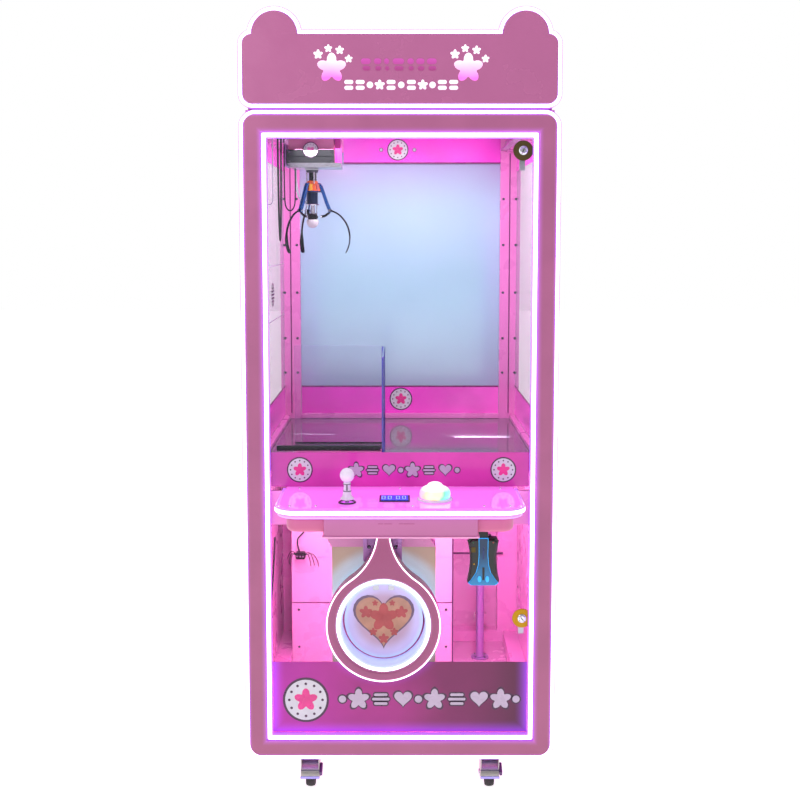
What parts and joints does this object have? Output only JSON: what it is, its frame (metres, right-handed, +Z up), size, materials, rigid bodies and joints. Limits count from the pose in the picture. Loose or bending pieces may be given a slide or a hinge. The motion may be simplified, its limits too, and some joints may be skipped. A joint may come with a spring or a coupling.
{
  "type": "claw crane machine",
  "caption": "Upright claw crane game cabinet on casters, with a lit front door, control console, round prize outlet, gantry claw and eared header.",
  "frame": {"origin": "on the floor under the middle of the machine's bounding box", "axes": "+Z up, +X to the right as seen by a player, -Y towards the player (front), +Y to the back"},
  "size_m": [0.8, 1.07, 2.04],
  "materials": {
    "pink_metal": "satin dusty-pink powder coat with a slight metallic sheen",
    "pink_gloss": "glossy pink acrylic sheet",
    "pink_acrylic": "pink acrylic face",
    "led_strip": "white diffuser, lit from inside",
    "clear_glass": "clear toughened glass",
    "mirror_glass": "pale blue mirrored glass",
    "play_surface": "glossy grey-violet laminate",
    "clear_acrylic": "clear acrylic sheet",
    "frosted_acrylic": "frosted acrylic",
    "zinc_steel": "zinc-plated steel",
    "chrome_metal": "polished",
    "dark_metal": "dark grey paint",
    "black_metal": "black paint",
    "blue_metal": "dark blue enamel",
    "lock_brass": "brushed brass escutcheon",
    "dark_plastic": "black moulded plastic",
    "white_plastic": "milky white plastic",
    "lit_plastic": "translucent white dome, lit from inside",
    "blue_display": "blue counter display",
    "black_cable": "black flexible sheath",
    "wheel_rubber": "black rubber tyre on a plastic hub"
  },
  "bodies": {
    "cabinet": {"cabinet_frame": "pink_metal", "floor_panel": "pink_metal", "roof_panel": "pink_metal", "lower_shell": "pink_metal", "bulkhead": "pink_metal", "header_box": "pink_metal", "header_face": "pink_acrylic", "header_led": "led_strip", "side_glass_left": "clear_glass", "side_glass_right": "clear_glass", "rear_glass": "mirror_glass", "play_board": "play_surface", "chute_guard": "clear_acrylic", "prize_chute": "frosted_acrylic", "board_leg": "zinc_steel", "control_box": "dark_plastic", "power_inlet": "dark_plastic", "rail_left": "zinc_steel", "rail_right": "zinc_steel", "door_hinge": "zinc_steel", "festoon_cable": "black_cable"},
    "front_door": {"door_frame": "pink_metal", "door_outer_led": "led_strip", "door_inner_led": "led_strip", "upper_glass": "clear_glass", "lower_glass": "clear_glass", "cross_member": "pink_metal", "console_tray": "pink_metal", "console_top": "pink_gloss", "console_led": "led_strip", "joystick_base": "dark_plastic", "display": "blue_display", "prize_ring": "pink_metal", "prize_ring_led": "led_strip", "bill_acceptor": "dark_plastic", "lock_upper": "lock_brass", "lock_lower": "lock_brass"},
    "prize_flap": {"prize_flap": "frosted_acrylic"},
    "upper_lock_cam": {"lock_cam_upper": "zinc_steel"},
    "lower_lock_cam": {"lock_cam_lower": "zinc_steel"},
    "joystick_gimbal": {"joystick_gimbal": "zinc_steel"},
    "joystick": {"joystick_stick": "white_plastic"},
    "start_button": {"start_button": "lit_plastic"},
    "bridge": {"bridge": "zinc_steel"},
    "trolley": {"trolley": "dark_metal"},
    "winch_spool": {"winch_spool": "zinc_steel"},
    "claw": {"claw_head": "blue_metal", "hoist_cord": "black_cable"},
    "claw_plunger": {"claw_plunger": "chrome_metal"},
    "claw_finger_1": {"claw_finger_1": "black_metal"},
    "claw_finger_2": {"claw_finger_2": "black_metal"},
    "claw_finger_3": {"claw_finger_3": "black_metal"},
    "caster_fork_front_left": {"caster_fork_front_left": "zinc_steel"},
    "caster_wheel_front_left": {"caster_wheel_front_left": "wheel_rubber"},
    "caster_fork_front_right": {"caster_fork_front_right": "zinc_steel"},
    "caster_wheel_front_right": {"caster_wheel_front_right": "wheel_rubber"},
    "caster_fork_rear_left": {"caster_fork_rear_left": "zinc_steel"},
    "caster_wheel_rear_left": {"caster_wheel_rear_left": "wheel_rubber"},
    "caster_fork_rear_right": {"caster_fork_rear_right": "zinc_steel"},
    "caster_wheel_rear_right": {"caster_wheel_rear_right": "wheel_rubber"}
  },
  "joints": [
    {"name": "front_door_hinge", "type": "hinge", "parent": "cabinet", "child": "front_door", "pos_m": [-0.394, -0.283, 0.94], "axis": [0, 0, -1], "range_deg": [0, 110]},
    {"name": "prize_flap_hinge", "type": "hinge", "parent": "front_door", "child": "prize_flap", "pos_m": [-0.042, -0.303, 0.589], "axis": [1, 0, 0], "range_deg": [0, 60]},
    {"name": "joystick_fore_aft", "type": "hinge", "parent": "front_door", "child": "joystick_gimbal", "pos_m": [-0.127, -0.465, 0.806], "axis": [1, 0, 0], "range_deg": [-12, 12], "stiffness_Nm_per_rad": 1.5},
    {"name": "joystick_side", "type": "hinge", "parent": "joystick_gimbal", "child": "joystick", "pos_m": [-0.127, -0.465, 0.806], "axis": [0, 1, 0], "range_deg": [-12, 12], "stiffness_Nm_per_rad": 1.5},
    {"name": "start_button_press", "type": "slide", "parent": "front_door", "child": "start_button", "axis": [0, 0, -1], "range_m": [0, 0.004], "stiffness_N_per_m": 500, "springref_m": -0.005},
    {"name": "upper_lock_turn", "type": "hinge", "parent": "front_door", "child": "upper_lock_cam", "pos_m": [0.307, -0.285, 1.691], "axis": [0, -1, 0], "range_deg": [0, 90]},
    {"name": "lower_lock_turn", "type": "hinge", "parent": "front_door", "child": "lower_lock_cam", "pos_m": [0.315, -0.285, 0.495], "axis": [0, -1, 0], "range_deg": [0, 90]},
    {"name": "bridge_travel", "type": "slide", "parent": "cabinet", "child": "bridge", "axis": [0, 1, 0], "range_m": [0, 0.43], "deforming": ["festoon_cable"]},
    {"name": "trolley_travel", "type": "slide", "parent": "bridge", "child": "trolley", "axis": [1, 0, 0], "range_m": [0, 0.47]},
    {"name": "claw_hoist", "type": "slide", "parent": "trolley", "child": "claw", "axis": [0, 0, -1], "range_m": [0, 0.51], "deforming": ["hoist_cord"]},
    {"name": "winch_turn", "type": "hinge", "parent": "trolley", "child": "winch_spool", "pos_m": [-0.2568, -0.065, 1.712], "axis": [0, 1, 0], "range_deg": [0, 1630]},
    {"name": "claw_plunger_lift", "type": "slide", "parent": "claw", "child": "claw_plunger", "axis": [0, 0, 1], "range_m": [0, 0.018]},
    {"name": "claw_finger_1_turn", "type": "hinge", "parent": "claw", "child": "claw_finger_1", "pos_m": [-0.18947, -0.07168, 1.548], "axis": [0.1392, 0.9903, 0], "range_deg": [0, 35]},
    {"name": "claw_finger_2_turn", "type": "hinge", "parent": "claw", "child": "claw_finger_2", "pos_m": [-0.25498, -0.02049, 1.548], "axis": [-0.9272, -0.3746, 0], "range_deg": [0, 35]},
    {"name": "claw_finger_3_turn", "type": "hinge", "parent": "claw", "child": "claw_finger_3", "pos_m": [-0.26655, -0.10282, 1.548], "axis": [0.788, -0.6157, 0], "range_deg": [0, 35]},
    {"name": "caster_front_left_swivel", "type": "hinge", "parent": "cabinet", "child": "caster_fork_front_left", "pos_m": [-0.24, -0.225, 0.126], "axis": [0, 0, 1], "continuous": true},
    {"name": "caster_front_left_roll", "type": "hinge", "parent": "caster_fork_front_left", "child": "caster_wheel_front_left", "pos_m": [-0.24, -0.203, 0.038], "axis": [1, 0, 0], "continuous": true},
    {"name": "caster_front_right_swivel", "type": "hinge", "parent": "cabinet", "child": "caster_fork_front_right", "pos_m": [0.24, -0.225, 0.126], "axis": [0, 0, 1], "continuous": true},
    {"name": "caster_front_right_roll", "type": "hinge", "parent": "caster_fork_front_right", "child": "caster_wheel_front_right", "pos_m": [0.24, -0.203, 0.038], "axis": [1, 0, 0], "continuous": true},
    {"name": "caster_rear_left_swivel", "type": "hinge", "parent": "cabinet", "child": "caster_fork_rear_left", "pos_m": [-0.24, 0.455, 0.126], "axis": [0, 0, 1], "continuous": true},
    {"name": "caster_rear_left_roll", "type": "hinge", "parent": "caster_fork_rear_left", "child": "caster_wheel_rear_left", "pos_m": [-0.24, 0.477, 0.038], "axis": [1, 0, 0], "continuous": true},
    {"name": "caster_rear_right_swivel", "type": "hinge", "parent": "cabinet", "child": "caster_fork_rear_right", "pos_m": [0.24, 0.455, 0.126], "axis": [0, 0, 1], "continuous": true},
    {"name": "caster_rear_right_roll", "type": "hinge", "parent": "caster_fork_rear_right", "child": "caster_wheel_rear_right", "pos_m": [0.24, 0.477, 0.038], "axis": [1, 0, 0], "continuous": true}
  ],
  "couplings": [
    {"joint": "winch_turn", "follows": "claw_hoist", "rad_per_m": 55.556},
    {"joint": "claw_finger_1_turn", "follows": "claw_plunger_lift", "rad_per_m": 33.333},
    {"joint": "claw_finger_2_turn", "follows": "claw_plunger_lift", "rad_per_m": 33.333},
    {"joint": "claw_finger_3_turn", "follows": "claw_plunger_lift", "rad_per_m": 33.333}
  ]
}
